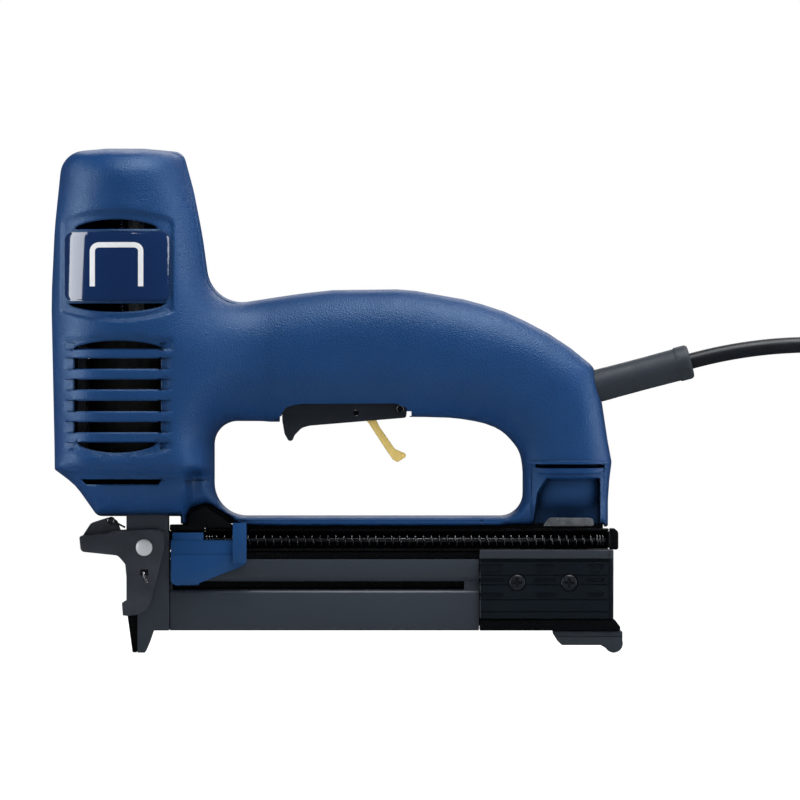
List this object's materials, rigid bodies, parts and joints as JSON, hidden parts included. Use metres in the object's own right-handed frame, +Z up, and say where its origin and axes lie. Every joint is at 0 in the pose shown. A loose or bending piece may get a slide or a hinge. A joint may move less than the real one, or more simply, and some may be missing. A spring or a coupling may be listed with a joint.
{
  "type": "electric stapler",
  "caption": "Corded electric stapler: two-piece housing with barrel head and closed hand grip, solenoid driver, trigger with safety lever, spring-fed magazine and latched nose.",
  "frame": {"origin": "middle of the nose's foot, on the work surface and the mid-plane", "axes": "+X back towards the cord, +Z up, -Y the tool's left side, seen in the picture"},
  "size_m": [0.4678, 0.0724, 0.2215],
  "materials": {
    "blue_plastic": "fine leather grain, satin",
    "badge_gloss": "polished dome",
    "black_plastic": "satin",
    "black_steel": "semi-gloss black coating",
    "grey_steel": "dark grey phosphate, satin",
    "bright_steel": "bright plated",
    "spring_steel": "oiled spring wire",
    "rubber": "matt",
    "yellow_plastic": "satin",
    "coil_tape": "wrapped tape",
    "board_green": "coated board",
    "copper_wire": "insulated wire",
    "white_plastic": "satin"
  },
  "bodies": {
    "tool": {"badge_left": "badge_gloss", "badge_right": "badge_gloss", "base_plate": "black_steel", "board_capacitor": "white_plastic", "board_triac": "black_plastic", "coil_bobbin": "black_plastic", "coil_winding": "coil_tape", "control_board": "board_green", "cord_clamp": "black_plastic", "cord_plug": "rubber", "cord_strain_relief": "rubber", "core_wire_1": "copper_wire", "core_wire_2": "copper_wire", "housing_left": "blue_plastic", "housing_right": "blue_plastic", "housing_screw_1": "spring_steel", "housing_screw_2": "spring_steel", "housing_screw_3": "spring_steel", "housing_screw_4": "spring_steel", "housing_screw_5": "spring_steel", "housing_screw_6": "spring_steel", "housing_screw_7": "spring_steel", "latch_pin": "bright_steel", "latch_spring": "spring_steel", "lower_bumper": "rubber", "magazine_body": "black_steel", "magazine_bracket": "black_steel", "magazine_rail": "black_steel", "nose_frame": "black_steel", "plug_pin_1": "bright_steel", "plug_pin_2": "bright_steel", "pole_piece": "grey_steel", "power_cord": "rubber", "pusher_spring": "spring_steel", "rear_block": "black_plastic", "rear_block_screw_1": "black_steel", "rear_block_screw_2": "black_steel", "rear_bracket": "grey_steel", "rear_foot": "rubber", "return_spring": "spring_steel", "solenoid_yoke": "grey_steel", "spring_channel": "black_steel", "spring_end_cap": "black_steel", "spring_rod": "bright_steel", "trigger_pin": "bright_steel", "trigger_spring": "spring_steel", "trigger_spring_seat": "black_plastic", "trigger_switch": "black_plastic", "upper_bumper": "rubber"},
    "trigger": {"trigger": "black_plastic", "safety_pin": "bright_steel"},
    "safety_lever": {"safety_lever": "yellow_plastic"},
    "switch_button": {"switch_button": "white_plastic"},
    "driver": {"armature": "bright_steel", "driver_blade": "bright_steel", "blade_pin": "bright_steel"},
    "nose_latch": {"nose_latch": "grey_steel", "latch_wire": "spring_steel"},
    "nose_door": {"nose_door": "black_steel"},
    "pusher": {"pusher": "blue_plastic"}
  },
  "joints": [
    {"name": "trigger_pull", "type": "hinge", "parent": "tool", "child": "trigger", "pos_m": [0.11295, 0, 0.107], "axis": [0, 1, 0], "range_deg": [0, 7], "stiffness_Nm_per_rad": 0.3, "deforming": ["trigger_spring"]},
    {"name": "switch_press", "type": "slide", "parent": "tool", "child": "switch_button", "axis": [0, 0, 1], "range_m": [0, 0.0041]},
    {"name": "safety_swing", "type": "hinge", "parent": "trigger", "child": "safety_lever", "pos_m": [0.09365, 0, 0.1052], "axis": [0, -1, 0], "range_deg": [0, 25], "stiffness_Nm_per_rad": 0.02},
    {"name": "driver_stroke", "type": "slide", "parent": "tool", "child": "driver", "axis": [0, 0, -1], "range_m": [0, 0.036], "stiffness_N_per_m": 150, "springref_m": -0.02, "deforming": ["return_spring"]},
    {"name": "latch_press", "type": "hinge", "parent": "tool", "child": "nose_latch", "pos_m": [0.00075, 0, 0.0462], "axis": [0, -1, 0], "range_deg": [0, 24], "stiffness_Nm_per_rad": 0.2},
    {"name": "door_swing", "type": "hinge", "parent": "tool", "child": "nose_door", "pos_m": [0.00075, 0, 0.0462], "axis": [0, 1, 0], "range_deg": [0, 28]},
    {"name": "pusher_slide", "type": "slide", "parent": "tool", "child": "pusher", "axis": [1, 0, 0], "range_m": [0, 0.098], "stiffness_N_per_m": 25, "springref_m": -0.1, "deforming": ["pusher_spring"]}
  ],
  "couplings": [
    {"joint": "switch_press", "follows": "trigger_pull", "m_per_rad": 0.0313},
    {"joint": "door_swing", "follows": "latch_press", "ratio": 1.1}
  ]
}
